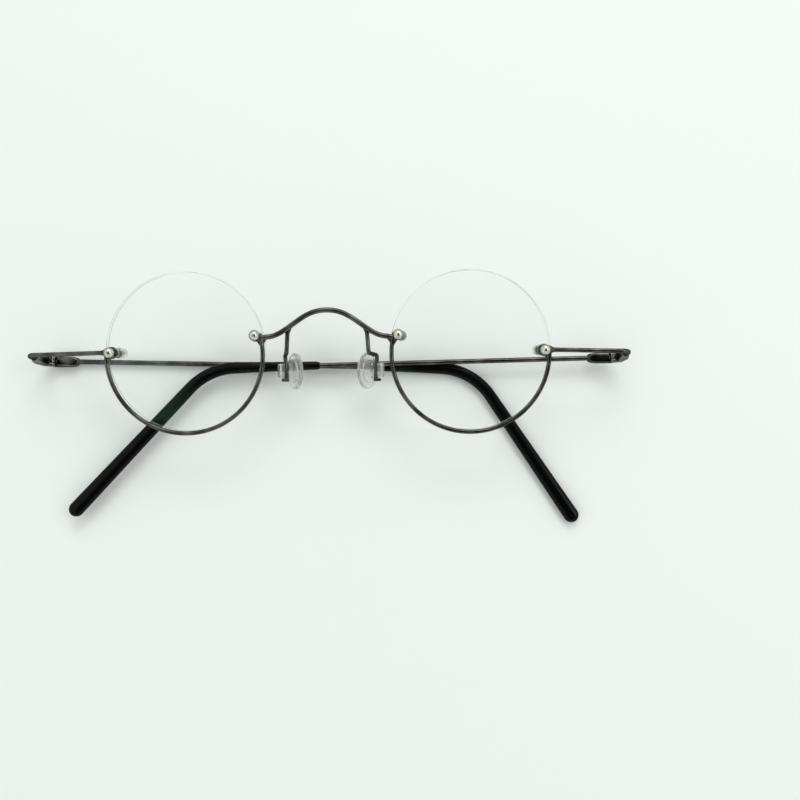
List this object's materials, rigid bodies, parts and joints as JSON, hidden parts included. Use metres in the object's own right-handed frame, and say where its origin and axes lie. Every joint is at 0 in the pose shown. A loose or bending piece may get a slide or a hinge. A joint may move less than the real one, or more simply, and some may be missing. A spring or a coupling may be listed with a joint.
{
  "type": "half rim eyeglasses",
  "caption": "Round half rim wire eyeglasses, folded front up, with screw-mounted clear lenses, rocking nose pads and hinged temples with black tips.",
  "frame": {"origin": "middle of the underside's outline, on the table that the folded glasses lie on", "axes": "+X from the picture's left lens to its right lens, +Y up the lenses, +Z the way the front faces, up from the table"},
  "size_m": [0.1464, 0.061, 0.0174],
  "materials": {
    "gunmetal": "dark gunmetal plating, semi-bright",
    "silver": "polished silver plating",
    "lens": "clear polished resin",
    "clear_plastic": "clear moulded plastic",
    "pad_silicone": "clear soft silicone",
    "black_plastic": "glossy black"
  },
  "bodies": {
    "front": {"bridge": "gunmetal", "left_endpiece": "gunmetal", "left_hinge_fork": "gunmetal", "left_hinge_screw": "silver", "left_lens": "lens", "left_nasal_bushing": "clear_plastic", "left_nasal_cap": "clear_plastic", "left_nasal_front_washer": "clear_plastic", "left_nasal_nut": "silver", "left_nasal_rear_washer": "silver", "left_nasal_screw": "silver", "left_pad_arm": "gunmetal", "left_rim": "gunmetal", "left_temporal_bushing": "clear_plastic", "left_temporal_cap": "clear_plastic", "left_temporal_front_washer": "clear_plastic", "left_temporal_nut": "silver", "left_temporal_rear_washer": "silver", "left_temporal_screw": "silver", "right_endpiece": "gunmetal", "right_hinge_fork": "gunmetal", "right_hinge_screw": "silver", "right_lens": "lens", "right_nasal_bushing": "clear_plastic", "right_nasal_cap": "clear_plastic", "right_nasal_front_washer": "clear_plastic", "right_nasal_nut": "silver", "right_nasal_rear_washer": "silver", "right_nasal_screw": "silver", "right_pad_arm": "gunmetal", "right_rim": "gunmetal", "right_temporal_bushing": "clear_plastic", "right_temporal_cap": "clear_plastic", "right_temporal_front_washer": "clear_plastic", "right_temporal_nut": "silver", "right_temporal_rear_washer": "silver", "right_temporal_screw": "silver"},
    "left_temple": {"left_hinge_leaf": "gunmetal", "left_temple_wire": "gunmetal", "left_temple_tip": "black_plastic"},
    "right_temple": {"right_hinge_leaf": "gunmetal", "right_temple_wire": "gunmetal", "right_temple_tip": "black_plastic"},
    "left_pad": {"left_nose_pad": "pad_silicone"},
    "right_pad": {"right_nose_pad": "pad_silicone"}
  },
  "joints": [
    {"name": "left_temple_hinge", "type": "hinge", "parent": "front", "child": "left_temple", "pos_m": [-0.07097, 0.0106, 0.0022], "axis": [0, 1, 0], "range_deg": [0, 92]},
    {"name": "right_temple_hinge", "type": "hinge", "parent": "front", "child": "right_temple", "pos_m": [0.07102, 0.0106, 0.00422], "axis": [0, -1, 0], "range_deg": [0, 93.5]},
    {"name": "left_pad_rock", "type": "hinge", "parent": "front", "child": "left_pad", "pos_m": [-0.01044, 0.00703, 0.00801], "axis": [-0.002, 0.9903, 0.1392], "range_deg": [-12, 12]},
    {"name": "right_pad_rock", "type": "hinge", "parent": "front", "child": "right_pad", "pos_m": [0.01126, 0.00703, 0.00832], "axis": [-0.002, 0.9903, 0.1392], "range_deg": [-12, 12]}
  ]
}
